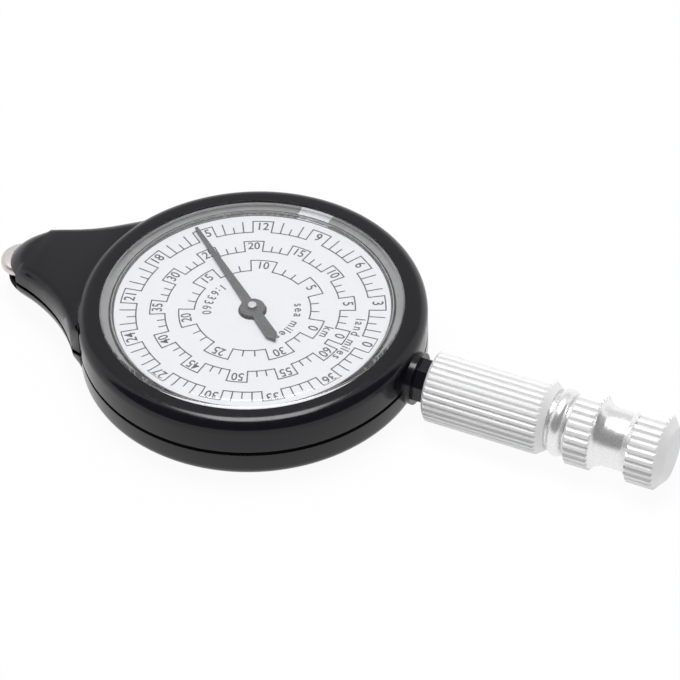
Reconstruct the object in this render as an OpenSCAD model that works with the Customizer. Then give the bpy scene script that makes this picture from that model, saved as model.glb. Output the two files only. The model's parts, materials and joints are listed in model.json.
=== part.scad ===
// Opisometer: a pocket map measurer. A small wheel at the tip of the beak is rolled along a
// line on a map, and a train of spur gears turns the hand over the dial.
// Origin: centre of the flat back, under the dial. +X runs along the handle, +Z out of the dial.

/* [Case] */
// Diameter of the round case
case_d = 50; // [49.6:0.2:54]
// Wall of the case
case_wall = 1.6; // [1.4:0.1:2]
// Height of the rear cover, from the back to the split
back_h = 5.5; // [5.3:0.1:6.5]
// Height of the front case, from the split to the rim
front_h = 5.5; // [5.4:0.1:6.5]
// Floor of the rear cover
floor_t = 1.2; // [0.8:0.1:1.8]
// Rounding of the front rim
rim_round = 2; // [1:0.1:2.1]
// Rounding of the back edge
back_round = 1.9; // [1:0.1:1.9]
// Distance from the edge of the case to the raised flat on the back
back_flat_in = 2; // [1.9:0.1:2.2]
// Height of the raised flat on the back
back_flat_h = 0.8; // [0.3:0.05:1]
// Bevel round the raised flat on the back
back_flat_bevel = 0.3; // [0.1:0.05:0.3]
// Height of the open line between the halves
reveal_h = 0.3; // [0.1:0.05:0.5]
// Depth of the open line between the halves
reveal_depth = 0.5; // [0.2:0.1:0.8]

/* [Beak] */
// Distance from the middle of the dial to the wheel's axis
wheel_reach = 37.6; // [37.2:0.1:40]
// How far the nose reaches past the wheel's axis
nose_over = 1.9; // [1.7:0.1:2.3]
// Length of the rounded nose, from its tip to where it is widest
nose_l = 6.25; // [5.8:0.05:7]
// Half the width of the nose
nose_w = 5.45; // [5.3:0.05:6]
// Radius of the hollow flanks in plan
flank_r = 26; // [24:0.5:30]
// Angle at which a flank leaves the nose
flank_angle = 16; // [14:0.5:18]
// Distance from the middle at which the flanks end
beak_root = 21.2; // [20:0.2:22]
// Step from the rim down to the top of the beak
beak_step = 1.1; // [0.9:0.1:1.4]
// How much the top of the beak falls from the case to the tip
beak_fall = 1.6; // [1:0.1:1.7]
// Height of the underside of the beak
beak_under = 2.3; // [1.8:0.1:2.6]
// Rounding of the beak's upper edge along the flanks
beak_round_top = 1.4; // [1:0.1:2]
// Rounding of the beak's upper edge at the tip
beak_round_tip = 3.5; // [3:0.1:3.6]
// Rounding of the beak's upper edge where it meets the case
beak_round_root = 3.6; // [2:0.1:4]
// Rounding of the beak's lower edge
beak_round_under = 2.6; // [1.5:0.1:2.8]
// Wall of the beak
beak_wall = 1.2; // [1:0.05:1.4]
// Wall of the lower half of the beak
under_wall = 1.8; // [1.5:0.1:2]
// Gap between the gears and the roof of the beak
roof_gap = 0.2; // [0.15:0.05:0.3]

/* [Wheel] */
// Distance on the map for one turn of the hand
turn_distance = 990.6; // [900:0.6:1050]
// Thickness of the tracking wheel
wheel_t = 1.6; // [1.5:0.05:1.7]
// How far the wheel's underside lies below the split
wheel_drop = 0.85; // [0.8:0.05:0.95]
// Rounding of the wheel's rim
wheel_round = 0.7; // [0.3:0.05:0.7]
// Gap round the wheel in its slot
slot_gap = 0.5; // [0.3:0.05:0.6]
// How far the open slot reaches behind the wheel's axis
slot_back = 1.5; // [1.2:0.1:1.6]
// Thickness of the wall that ends the slot
slot_wall = 1; // [0.8:0.1:1.4]

/* [Gears] */
// Module of the pair at the tracking wheel
fine_module = 0.28; // [0.26:0.01:0.29]
// Module of the pair at the centre
centre_module = 0.65; // [0.62:0.01:0.66]
// Teeth of the three pinions, from the tracking wheel to the centre
pinion_teeth = [8, 10, 12];
// Teeth of the three wheels, from the tracking wheel to the centre
gear_teeth = [28, 35, 48];
// Thickness of the gears
gear_t = 0.55; // [0.45:0.05:0.6]
// Gap between one gear and the next above it
gear_gap = 0.12; // [0.1:0.01:0.16]
// Gap between a gear's teeth and the room it turns in
room_gap = 0.2; // [0.15:0.05:0.3]
// Arms of the centre wheel
arm_count = 5; // [4:1:6]
// Width of a gear's arm
arm_w = 1.6; // [1:0.1:2.2]

/* [Arbors] */
// Diameter of the centre arbor
centre_arbor_d = 2; // [1.8:0.1:2.2]
// Diameter of the centre arbor's thin end, which carries the hand
hand_seat_d = 1.25; // [1.1:0.05:1.4]
// Diameter of the other arbors
arbor_d = 1.4; // [1.2:0.1:1.6]
// Diameter of the pivots
pivot_d = 0.9; // [0.7:0.05:1]
// Diameter of the tracking wheel's axle
axle_d = 1.1; // [1:0.05:1.2]
// Diameter of the axle's pivots
axle_pivot_d = 0.7; // [0.6:0.05:0.8]
// How far the axle's pivots enter the case
axle_bite = 0.45; // [0.35:0.05:0.5]
// How far the first arbor's pivots enter the case
pivot_bite = 0.5; // [0.4:0.05:0.6]
// Wall of the boss round the first arbor's lower pivot
bearing_wall = 0.8; // [0.6:0.1:0.9]
// Radial clearance of a turning fit
run_gap = 0.05; // [0.03:0.01:0.08]
// Gap at the end of a pivot or beside a turning part
end_gap = 0.1; // [0.05:0.01:0.15]

/* [Movement plates] */
// Thickness of the front plate
front_plate_t = 0.6; // [0.5:0.05:0.65]
// Thickness of the back plate
back_plate_t = 0.8; // [0.6:0.05:1]
// Gap between the centre wheel and the pillars
pillar_gap = 0.5; // [0.3:0.05:0.6]
// Diameter of a pillar
pillar_d = 2; // [1.8:0.1:2.2]
// Diameter of the plate screws
plate_screw_d = 1; // [0.8:0.1:1.1]
// Gap round the heads of the front plate's screws
plate_head_gap = 0.15; // [0.1:0.05:0.3]
// Height of the plate screws' heads
plate_head_h = 0.5; // [0.3:0.05:0.6]
// Depth to which the plate screws enter the case or a pillar
plate_screw_bite = 1.2; // [1:0.1:1.4]
// Wall of the bush round the centre arbor
bush_wall = 0.7; // [0.5:0.1:0.9]
// Width of the bush's lip
bush_lip = 0.5; // [0.3:0.1:0.7]
// Radius of the back plate's ear round the second arbor
ear_r = 2; // [1.5:0.1:2.5]

/* [Dial] */
// Depth of the dial's face below the rim
dial_depth = 2.1; // [2:0.05:2.2]
// Width of the ring round the dial
seat_w = 1.3; // [1.2:0.05:2]
// Thickness of the dial
dial_t = 0.4; // [0.3:0.05:0.5]
// Diameter of the hole in the dial
dial_hole_d = 4.1; // [4:0.1:5]
// Width of the dial's tab
tab_w = 4.9; // [3:0.1:6]

/* [Crystal] */
// Width of the case's front ring round the crystal
bezel_w = 3.25; // [3.05:0.05:3.3]
// Thickness of the window
crystal_t = 0.8; // [0.7:0.05:0.85]
// Thickness of the crystal's side wall
crystal_wall = 1.2; // [0.8:0.05:1.3]
// Rounding of the crystal's edge
crystal_round = 0.6; // [0.3:0.05:0.8]
// Radial gap between crystal and case
fit_gap = 0.05; // [0.03:0.01:0.1]

/* [Hand] */
// Distance from the tip of the hand to the edge of the dial
tip_in = 1.1; // [0.6:0.1:3]
// Length of the tail
tail_len = 7.6; // [6:0.1:9]
// Width of the tail, from where the blade tapers evenly to the tip
tail_w = 1.7; // [1.2:0.1:2]
// Length of the tail's point
tail_point = 1.3; // [0.8:0.1:1.6]
// Width of the blade at its tip
tip_w = 0.45; // [0.3:0.05:0.6]
// Diameter of the boss
boss_d = 3.6; // [3:0.1:4]
// How far the hub under the boss is set back from its edge
hub_step = 0.3; // [0.2:0.1:0.8]
// Thickness of the hand
hand_t = 0.25; // [0.2:0.05:0.3]
// How far the arbor's end stands out of the hand
pin_proud = 0.5; // [0.2:0.05:0.5]
// Gap between the hand and the window
hand_room = 0.7; // [0.6:0.05:0.75]
// Mile that the hand points at
hand_at = 15.25; // [0:0.25:38]
// Miles in one turn
miles_per_turn = 39; // [30:1:50]

/* [Case screws] */
// Distance from the edge of the case to the case screws' axes
screw_in = 4.1; // [4:0.05:4.2]
// Diameter of the case screws
screw_d = 1.6; // [1.4:0.1:2]
// Diameter of the screw heads
screw_head_d = 3; // [2.6:0.1:3.2]
// Diameter of the screw posts
post_d = 4; // [3.6:0.1:4.2]
// Thickness of the web behind a screw post
post_web = 1.6; // [1.2:0.1:2]
// Depth to which the screws enter the front case
screw_bite = 2.4; // [2:0.1:2.8]
// Width and depth of the slot in a screw head
screw_slot = 0.4; // [0.3:0.05:0.5]

/* [Handle] */
// Diameter over the knurl
handle_d = 10.74; // [10:0.02:10.9]
// Depth of the knurl
knurl_depth = 0.35; // [0.2:0.05:0.5]
// Ridges round the sleeve
sleeve_ridges = 36; // [28:1:40]
// Ridges round the knob
knob_ridges = 30; // [24:1:36]
// Share of a ridge's pitch that its flat top takes
ridge_flat = 0.3; // [0.1:0.05:0.4]
// Bevel at the ends of the knurled rings
knurl_bevel = 0.5; // [0.3:0.05:0.6]
// Diameter of the neck
neck_d = 6.6; // [6.2:0.1:7]
// Diameter of the collar at the neck's foot
collar_d = 7.6; // [7:0.1:8]
// How far the collar stands out of the case
collar_l = 0.9; // [0.5:0.1:1.2]
// Diameter of the neck's spigot inside the sleeve
spigot_d = 5.4; // [5.2:0.1:5.8]
// Length of the spigot
spigot_l = 9; // [7:0.5:12]
// Distance from the middle of the dial to the sleeve
sleeve_x = 28.1; // [27.6:0.1:32]
// Length of the sleeve's knurl
sleeve_l = 17; // [15:0.1:24]
// Length of the bevel at the sleeve's start
sleeve_lead = 0.6; // [0.3:0.1:0.8]
// Length of the bevel at the sleeve's end
sleeve_bevel = 1.1; // [0.6:0.1:1.4]
// Diameter of the stud
stud_d = 2.6; // [2.2:0.1:3]
// Diameter of the stud's head
stud_head_d = 4; // [3.6:0.1:4.4]
// Thickness of the stud's head
stud_head_l = 1.2; // [0.8:0.1:2]
// Distance from the neck's spigot shoulder to the stud's head
stud_head_in = 2; // [1:0.5:4]

/* [Knob] */
// Diameter of the bead
bead_d = 9.7; // [9:0.1:10.4]
// Length of the bead
bead_l = 2.2; // [1.8:0.1:3.4]
// Width of the grooves beside the bead
groove_w = 0.4; // [0.2:0.05:0.6]
// Depth of the grooves beside the bead
groove_depth = 0.9; // [0.5:0.1:1.1]
// Length of the first knurled ring
ring_l = 3.8; // [3:0.1:5]
// Length of the waist between the cones
waist_l = 3; // [1.6:0.1:4]
// Diameter of the waist
waist_d = 8.4; // [6.8:0.1:8.8]
// Length of the cone between the first ring and the waist
cone_l = 1.4; // [1:0.1:2.2]
// Length of the cone between the waist and the second ring
end_cone_l = 1; // [0.8:0.1:1.6]
// Length of the second knurled ring
end_ring_l = 4.1; // [2.4:0.1:5]
// Length of the rounded end
end_cap_l = 1.2; // [0.8:0.1:2]
// How far the rounded end is set back from the knurl
end_cap_in = 0.9; // [0.7:0.1:1.2]

/* [Hidden] */
$fn = 96;

// Heights of the stack, from the back up
split_z = back_h;
rim_z = back_h + front_h;
window_z = rim_z - crystal_t;
hand_top = window_z - hand_room;
dial_top = rim_z - dial_depth;
plate_top = dial_top - dial_t;
plate_under = plate_top - front_plate_t;
beak_top = rim_z - beak_step;

// Radii of the case
case_r = case_d / 2;
inner_r = case_r - case_wall;
back_flat_r = case_r - back_flat_in;
bezel_r = case_r - bezel_w;
crystal_r = bezel_r - fit_gap;
dial_r = crystal_r - seat_w;

// Gear stations on the -X line: fine pair, middle pair, centre pair
fine_span = fine_module * (pinion_teeth[0] + gear_teeth[0]) / 2;
centre_span = centre_module * (pinion_teeth[2] + gear_teeth[2]) / 2;
middle_span = wheel_reach - fine_span - centre_span;
middle_module = 2 * middle_span / (pinion_teeth[1] + gear_teeth[1]);
wheel_x = -wheel_reach;
first_x = wheel_x + fine_span;
second_x = -centre_span;
ratio = gear_teeth[0] / pinion_teeth[0] * gear_teeth[1] / pinion_teeth[1]
      * gear_teeth[2] / pinion_teeth[2];
wheel_r = turn_distance / (2 * PI * ratio);
pressure_angle = 28;
addendum = 0.8;
dedendum = 1;
backlash = 0.12;

// Levels of the gears: the fine pair runs just above the tracking wheel
wheel_z = split_z - wheel_drop;
wheel_top = wheel_z + wheel_t;
fine_z = wheel_top + gear_gap;
middle_z = fine_z + gear_t + gear_gap;
middle_top = middle_z + gear_t;
centre_z = wheel_top - gear_t;
back_plate_top = centre_z - 2 * gear_gap - end_gap;
back_plate_z = back_plate_top - back_plate_t;

// Beak in plan: an elliptical nose that runs into circular flanks
nose_tip = wheel_x - nose_over;
nose_x = nose_tip + nose_l;
nose_end = atan(nose_w / (nose_l * tan(flank_angle)));
flank_x = nose_x - nose_l * cos(nose_end) - flank_r * sin(flank_angle);
flank_y = nose_w * sin(nose_end) + flank_r * cos(flank_angle);
flank_end = asin((-beak_root - flank_x) / flank_r);
slot_under = wheel_z - slot_gap;
slot_top = fine_z + gear_t + end_gap;
slot_x = wheel_x + slot_back;
roof_z = middle_top + roof_gap;

// Rooms and bearings of the arbors in the case
first_from = beak_under + beak_wall - pivot_bite;
first_to = roof_z + pivot_bite;
first_room_r = (gear_teeth[0] / 2 + addendum) * fine_module + room_gap;
pinion_room_r = (pinion_teeth[1] / 2 + addendum) * middle_module + room_gap;
second_room_r = (gear_teeth[1] / 2 + addendum) * middle_module + room_gap;
axle_from = slot_under - axle_bite;
axle_to = slot_top + axle_bite;

// Screws and posts
screw_ring = case_r - screw_in;
post_angles = [50, 130, 230, 310];
plate_screw_angles = [0, 115, 245];
pillar_angles = [0, 75, 285];
plate_screw_ring = (bezel_r + inner_r) / 2;
plate_head_d = inner_r - bezel_r - 2 * plate_head_gap;
pillar_ring = (gear_teeth[2] / 2 + addendum) * centre_module + pillar_gap + pillar_d / 2;
bush_d = centre_arbor_d + 2 * bush_wall;

// Hand
hand_z = hand_top - hand_t;
hand_angle = 360 * hand_at / miles_per_turn;
hand_len = dial_r - tip_in;
hub_d = boss_d - 2 * hub_step;

// Handle stations along +X
handle_z = split_z;
handle_r = handle_d / 2;
valley_r = handle_r - knurl_depth;
sleeve_end = sleeve_x + sleeve_l;
knob_x = sleeve_end + sleeve_bevel;
bead_x = knob_x + groove_w;
ring_x = bead_x + bead_l + groove_w;
cone_x = ring_x + ring_l;
waist_x = cone_x + cone_l;
end_ring_x = waist_x + waist_l + end_cone_l;
cap_x = end_ring_x + end_ring_l;
handle_end = cap_x + end_cap_l;
spigot_end = sleeve_x + spigot_l;
web_x = spigot_end + 2 * end_gap;
stud_head_x = sleeve_x + stud_head_in;
stud_end = ring_x + ring_l;

// Points of an arc in a profile, from one angle to another
arc_steps = 6;
function arc(c, r, from, to) =
  [for (i = [0:arc_steps]) let (a = from + (to - from) * i / arc_steps) c + r * [cos(a), sin(a)]];

// Points of a bead's profile: half an ellipse that bulges from its foot to its crest
function bow(foot, crest) =
  [for (i = [0:2 * arc_steps]) let (a = -90 + 90 * i / arc_steps)
    [foot[0] + (crest[0] - foot[0]) * cos(a), foot[1] + crest[1] * (1 + sin(a))]];

// Copies what follows to each of the angles on a ring
module on_ring(radius, angles) {
  for (a = angles) rotate([0, 0, a]) translate([radius, 0, 0]) children();
}

// Turns a profile of [radius, station] points round the handle's axis
module turned(points) {
  translate([0, 0, handle_z]) rotate([0, 90, 0]) rotate_extrude() polygon(points);
}

// A rod along the handle
module handle_rod(d, from, to) {
  translate([from, 0, handle_z]) rotate([0, 90, 0]) cylinder(d = d, h = to - from);
}

// A rod along Z
module rod(x, d, from, to) {
  translate([x, 0, from]) cylinder(d = d, h = to - from);
}

// ---- gears ----

// Involute of an angle, in degrees
function inv(a) = tan(a) * 180 / PI - a;

// Half the angle that a tooth takes at radius r, for a gear of n teeth of module 1
function half_tooth(n, r) =
  let (base = n / 2 * cos(pressure_angle))
  90 / n - backlash * 180 / PI / n + inv(pressure_angle) - (r > base ? inv(acos(base / r)) : 0);

// Outline of a gear with one tooth centred on +X
function gear_outline(n, m) =
  let (
    root = n / 2 - dedendum,
    tip = n / 2 + addendum,
    start = max(root, n / 2 * cos(pressure_angle)),
    flank = concat(start > root ? [root] : [], [start, (start + tip) / 2, tip])
  )
  [for (k = [0:n - 1]) each concat(
    [for (r = flank) let (a = 360 * k / n - half_tooth(n, r)) m * r * [cos(a), sin(a)]],
    [for (i = [len(flank) - 1:-1:0])
      let (r = flank[i], a = 360 * k / n + half_tooth(n, r)) m * r * [cos(a), sin(a)]]
  )];

// A gear at x with a tooth centred on the given angle
module gear(x, z, n, m, t, phase, bore) {
  translate([x, 0, z]) rotate([0, 0, phase]) difference() {
    linear_extrude(t) polygon(gear_outline(n, m));
    translate([0, 0, -1]) cylinder(d = bore, h = t + 2);
  }
}

// The openings that leave a gear a hub, arms and a rim
module arm_openings(x, z, hub_r, rim_r, arms, t) {
  translate([x, 0, z - 1]) difference() {
    cylinder(r = rim_r, h = t + 2);
    translate([0, 0, -1]) cylinder(r = hub_r, h = t + 4);
    for (k = [0:arms - 1]) rotate([0, 0, 360 * k / arms]) {
      translate([0, -arm_w / 2, -1]) cube([rim_r + 1, arm_w, t + 4]);
    }
  }
}

// ---- case ----

// A station of the beak's outline: point, outward normal, nearness to the tip and to the case
function nose_station(t) =
  let (n = [-cos(t) / nose_l, sin(t) / nose_w])
  [[nose_x - nose_l * cos(t), nose_w * sin(t)], n / norm(n),
   sqrt(max(0, cos(90 * t / nose_end))), 0];
function flank_station(a) =
  let (x = flank_x + flank_r * sin(a))
  [[x, flank_y - flank_r * cos(a)], [-sin(a), cos(a)], 0,
   max(0, (x - nose_x) / (-beak_root - nose_x))];

nose_steps = 12;
flank_steps = 12;
half_outline = concat(
  [for (i = [0:nose_steps]) nose_station(nose_end * i / nose_steps)],
  [for (i = [1:flank_steps]) flank_station(flank_angle + (flank_end - flank_angle) * i / flank_steps)]
);
stations = concat(
  [for (i = [len(half_outline) - 1:-1:1]) let (s = half_outline[i])
    [[s[0].x, -s[0].y], [s[1].x, -s[1].y], s[2], s[3]]],
  half_outline
);

// Height of a beak half over the split at a station along X
function beak_height(x, root_h, fall) =
  root_h - fall * max(0, -x - case_r) / (-nose_tip - case_r);

// One half of the beak, from the split up: rings of stations that draw in over a rounded edge
module beak_half(root_h, fall, side_round, tip_round, root_round) {
  levels = 8;
  count = len(stations);
  tip = (count - 1) / 2;
  crown = levels * count;
  points = [for (k = [0:levels], s = stations)
    let (
      share = sin(90 * k / levels),
      round = side_round + (tip_round - side_round) * s[2] + (root_round - side_round) * s[3],
      height = beak_height(s[0].x, root_h, fall),
      over = share * height - (height - round),
      inset = over > 0 ? round - sqrt(max(0, round * round - over * over)) : 0,
      p = s[0] - inset * s[1]
    )
    [p.x, p.y, share * beak_height(p.x, root_h, fall)]];
  strips = [for (i = [0:tip - 2]) [i, i + 1, count - 2 - i, count - 1 - i]];
  faces = concat(
    [for (f = strips) [f[3], f[2], f[1], f[0]]],
    [[tip + 1, tip, tip - 1]],
    [for (f = strips) [for (v = f) crown + v]],
    [[crown + tip - 1, crown + tip, crown + tip + 1]],
    [for (k = [0:levels - 1], i = [0:count - 2]) let (a = k * count + i)
      each [[a, a + 1, a + count], [a + 1, a + count + 1, a + count]]],
    [for (k = [0:levels - 1]) let (a = k * count)
      [a, a + count, a + 2 * count - 1, a + count - 1]]
  );
  translate([0, 0, split_z]) polyhedron(points, faces);
}

// The hollow of the beak behind the slot, with walls of the given thickness
module beak_hollow(wall, z0, z1) {
  intersection() {
    translate([0, 0, z0]) linear_extrude(z1 - z0) polygon([for (s = stations) s[0] - wall * s[1]]);
    translate([slot_x + slot_wall, -case_r, z0])
      cube([-beak_root - beak_wall - slot_x - slot_wall, case_d, z1 - z0]);
  }
}

// The open line round the beak where its halves meet
module beak_reveal() {
  difference() {
    translate([nose_tip - 1, -case_r, split_z - reveal_h / 2])
      cube([1 - nose_tip - beak_root, case_d, reveal_h]);
    translate([0, 0, split_z - reveal_h]) {
      linear_extrude(2 * reveal_h) polygon([for (s = stations) s[0] - reveal_depth * s[1]]);
      cylinder(r = case_r - reveal_depth, h = 2 * reveal_h);
    }
  }
}

// A screw post with the web that ties it to the wall of the case
module screw_posts(z0, z1, grow) {
  on_ring(screw_ring, post_angles) translate([0, 0, z0]) {
    cylinder(d = post_d + 2 * grow, h = z1 - z0);
    translate([0, -post_web / 2 - grow, 0])
      cube([case_r - case_wall / 2 - screw_ring, post_web + 2 * grow, z1 - z0]);
  }
}

// Neck, collar and spigot, whole; each half of the case keeps its side
module neck() {
  handle_rod(collar_d, inner_r, case_r + collar_l);
  translate([0, 0, handle_z]) rotate([0, 90, 0]) rotate([0, 0, 22.5])
    translate([0, 0, inner_r]) cylinder(d = neck_d, h = sleeve_x - end_gap - inner_r, $fn = 8);
  handle_rod(spigot_d, inner_r, spigot_end);
}

// Room for the stud in the neck: shank and captive head
module stud_room() {
  handle_rod(stud_d + 2 * fit_gap, stud_head_x, spigot_end + 1);
  handle_rod(stud_head_d + 2 * fit_gap, stud_head_x - fit_gap, stud_head_x + stud_head_l + fit_gap);
}

// The slot for the tracking wheel, the room of the fine pair and the axle's bearings
module wheel_room() {
  swept_r = wheel_r + slot_gap;
  translate([wheel_x, 0, slot_under]) cylinder(r = swept_r, h = slot_top - slot_under);
  translate([slot_x - case_r, -case_r, slot_under]) cube([case_r, case_d, slot_top - slot_under]);
  rod(wheel_x, axle_pivot_d + 2 * run_gap, axle_from - end_gap, axle_to + end_gap);
}

module front_case() {
  color([0.16, 0.16, 0.17]) {
    difference() {
      union() {
        rotate_extrude() polygon(concat(
          [[inner_r, split_z], [case_r - reveal_depth, split_z],
           [case_r - reveal_depth, split_z + reveal_h / 2], [case_r, split_z + reveal_h / 2]],
          arc([case_r - rim_round, rim_z - rim_round], rim_round, 0, 90),
          [[bezel_r, rim_z], [bezel_r, plate_top], [inner_r, plate_top]]
        ));
        difference() {
          beak_half(beak_top - split_z, beak_fall, beak_round_top, beak_round_tip,
                    beak_round_root);
          translate([0, 0, split_z - 1]) cylinder(r = case_r - case_wall / 2, h = rim_z);
        }
        screw_posts(split_z, plate_top, 0);
        intersection() {
          neck();
          translate([inner_r, -case_r, split_z]) cube([case_d, case_d, front_h]);
        }
      }
      beak_hollow(beak_wall, split_z - 1, roof_z);
      rod(second_x, 2 * second_room_r, split_z - 1, roof_z);
      rod(first_x, 2 * first_room_r, fine_z - end_gap, slot_top);
      rod(first_x, 2 * pinion_room_r, slot_top - end_gap, roof_z);
      beak_reveal();
      wheel_room();
      rod(first_x, pivot_d + 2 * run_gap, split_z, first_to + end_gap);
      on_ring(screw_ring, post_angles)
        translate([0, 0, split_z - 1]) cylinder(d = screw_d, h = screw_bite + 1 + end_gap);
      on_ring(plate_screw_ring, plate_screw_angles)
        translate([0, 0, plate_top - 1])
          cylinder(d = plate_screw_d, h = 1 + plate_screw_bite + end_gap);
      stud_room();
    }
  }
}

module rear_cover() {
  color([0.15, 0.15, 0.16]) {
    difference() {
      union() {
        rotate_extrude() polygon(concat(
          [[0, 0], [back_flat_r - back_flat_bevel, 0], [back_flat_r, back_flat_bevel],
           [back_flat_r, back_flat_h]],
          arc([case_r - back_round, back_flat_h + back_round], back_round, -90, 0),
          [[case_r, split_z - reveal_h / 2], [case_r - reveal_depth, split_z - reveal_h / 2],
           [case_r - reveal_depth, split_z], [inner_r, split_z], [inner_r, floor_t], [0, floor_t]]
        ));
        difference() {
          translate([0, 0, 2 * split_z]) mirror([0, 0, 1])
            beak_half(split_z - beak_under, 0, beak_round_under, beak_round_under,
                      beak_round_under);
          translate([0, 0, -1]) cylinder(r = case_r - case_wall / 2, h = rim_z);
        }
        screw_posts(floor_t / 2, split_z, 0);
        intersection() {
          neck();
          translate([inner_r, -case_r, 0]) cube([case_d, case_d, split_z]);
        }
      }
      difference() {
        beak_hollow(under_wall, beak_under + beak_wall, split_z + 1);
        rod(first_x, pivot_d + 2 * bearing_wall, 0, wheel_z);
      }
      beak_reveal();
      wheel_room();
      rod(first_x, pivot_d + 2 * run_gap, first_from - end_gap, split_z);
      on_ring(screw_ring, post_angles) {
        translate([0, 0, -1]) cylinder(d = screw_d + 2 * fit_gap, h = split_z + 2);
        translate([0, 0, -fit_gap / 4])
          cylinder(d1 = screw_head_d + 2 * fit_gap, d2 = screw_d, h = (screw_head_d - screw_d) / 2);
      }
      stud_room();
    }
  }
}

module case_screws() {
  head_h = (screw_head_d - screw_d) / 2;
  color([0.55, 0.56, 0.58]) on_ring(screw_ring, post_angles) difference() {
    rotate_extrude() polygon([
      [0, fit_gap], [screw_head_d / 2 - fit_gap, fit_gap], [screw_d / 2, head_h],
      [screw_d / 2, split_z + screw_bite], [0, split_z + screw_bite]
    ]);
    translate([-screw_head_d / 2, -screw_slot / 2, 0])
      cube([screw_head_d, screw_slot, screw_slot + fit_gap]);
  }
}

// ---- dial side ----

module crystal() {
  top = rim_z - fit_gap;
  color([0.85, 0.9, 0.95, 0.35]) rotate_extrude() polygon(concat(
    [[0, window_z], [crystal_r - crystal_wall, window_z], [crystal_r - crystal_wall, dial_top],
     [crystal_r, dial_top]],
    arc([crystal_r - crystal_round, top - crystal_round], crystal_round, 0, 90),
    [[0, top]]
  ));
}

// Tab of the dial on the +Y side, and its notch in the ring
module tab(w, reach, t) {
  translate([-w / 2, 0, plate_top]) cube([w, reach, t]);
}

module seat_ring() {
  color([0.1, 0.1, 0.11]) difference() {
    translate([0, 0, plate_top]) cylinder(r = crystal_r, h = dial_t);
    translate([0, 0, plate_top - 1]) cylinder(r = dial_r + fit_gap, h = dial_t + 2);
    translate([0, 0, -0.5]) tab(tab_w + 2 * fit_gap, case_r, dial_t + 1);
  }
}

module dial() {
  color([0.94, 0.94, 0.95]) difference() {
    union() {
      translate([0, 0, plate_top]) cylinder(r = dial_r, h = dial_t);
      intersection() {
        tab(tab_w, case_r, dial_t);
        translate([0, 0, plate_top - 1]) cylinder(r = crystal_r, h = dial_t + 2);
      }
    }
    translate([0, 0, plate_top - 1]) cylinder(d = dial_hole_d, h = dial_t + 2);
  }
}

module front_plate() {
  color([0.78, 0.68, 0.4]) difference() {
    translate([0, 0, plate_under]) cylinder(r = inner_r - 2 * fit_gap, h = front_plate_t);
    rod(0, bush_d, plate_under - 1, plate_top + 1);
    rod(second_x, pivot_d + 2 * run_gap, plate_under - 1, plate_top + 1);
    screw_posts(plate_under - 1, plate_top + 1, 2 * fit_gap);
    on_ring(plate_screw_ring, plate_screw_angles)
      translate([0, 0, plate_under - 1]) cylinder(d = plate_screw_d, h = front_plate_t + 2);
  }
}

module centre_bush() {
  color([0.85, 0.72, 0.35]) difference() {
    union() {
      rod(0, bush_d, plate_under, plate_top);
      rod(0, bush_d + 2 * bush_lip, plate_under - gear_gap, plate_under);
    }
    rod(0, centre_arbor_d + 2 * run_gap, plate_under - 1, plate_top + 1);
  }
}

module front_plate_screws() {
  color([0.7, 0.7, 0.72]) on_ring(plate_screw_ring, plate_screw_angles) {
    translate([0, 0, plate_under])
      cylinder(d = plate_screw_d, h = front_plate_t + plate_screw_bite);
    translate([0, 0, plate_under - plate_head_h]) cylinder(d = plate_head_d, h = plate_head_h);
  }
}

module back_plate() {
  color([0.78, 0.68, 0.4]) difference() {
    union() {
      translate([0, 0, back_plate_z]) cylinder(r = pillar_ring + pillar_d / 2, h = back_plate_t);
      translate([second_x, 0, back_plate_z]) cylinder(r = ear_r, h = back_plate_t);
    }
    rod(0, pivot_d + 2 * run_gap, back_plate_z - 1, back_plate_top + 1);
    rod(second_x, pivot_d + 2 * run_gap, back_plate_z - 1, back_plate_top + 1);
    on_ring(pillar_ring, pillar_angles)
      translate([0, 0, back_plate_z - 1]) cylinder(d = plate_screw_d, h = back_plate_t + 2);
    screw_posts(back_plate_z - 1, back_plate_top + 1, 2 * fit_gap);
  }
}

module pillars() {
  color([0.8, 0.7, 0.42]) on_ring(pillar_ring, pillar_angles) difference() {
    translate([0, 0, back_plate_top]) cylinder(d = pillar_d, h = plate_under - back_plate_top);
    translate([0, 0, back_plate_top - 1])
      cylinder(d = plate_screw_d, h = 1 + plate_screw_bite + end_gap);
  }
}

module back_plate_screws() {
  color([0.7, 0.7, 0.72]) on_ring(pillar_ring, pillar_angles) {
    translate([0, 0, back_plate_z])
      cylinder(d = plate_screw_d, h = back_plate_t + plate_screw_bite);
    translate([0, 0, back_plate_z - plate_head_h]) cylinder(d = pillar_d, h = plate_head_h);
  }
}

// ---- hand and centre ----

module hand() {
  color([0.3, 0.3, 0.31]) rotate([0, 0, hand_angle]) translate([0, 0, hand_z]) difference() {
    linear_extrude(hand_t) union() {
      polygon([[hand_len, -tip_w / 2], [hand_len, tip_w / 2], [tail_point - tail_len, tail_w / 2],
               [-tail_len, 0], [tail_point - tail_len, -tail_w / 2]]);
      circle(d = boss_d);
    }
    translate([0, 0, -1]) cylinder(d = hand_seat_d, h = hand_t + 2);
  }
}

module hand_hub() {
  color([0.25, 0.25, 0.26]) difference() {
    union() {
      rod(0, hub_d, dial_top + end_gap, hand_z);
      rod(0, centre_arbor_d, plate_top + gear_gap, hand_z);
    }
    rod(0, hand_seat_d, 0, rim_z);
  }
}

module centre_arbor() {
  color([0.86, 0.86, 0.87]) {
    rod(0, pivot_d, back_plate_z, back_plate_top + end_gap);
    rod(0, centre_arbor_d, back_plate_top + end_gap, plate_top + gear_gap);
    rod(0, hand_seat_d, plate_top, hand_top + pin_proud);
  }
}

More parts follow.
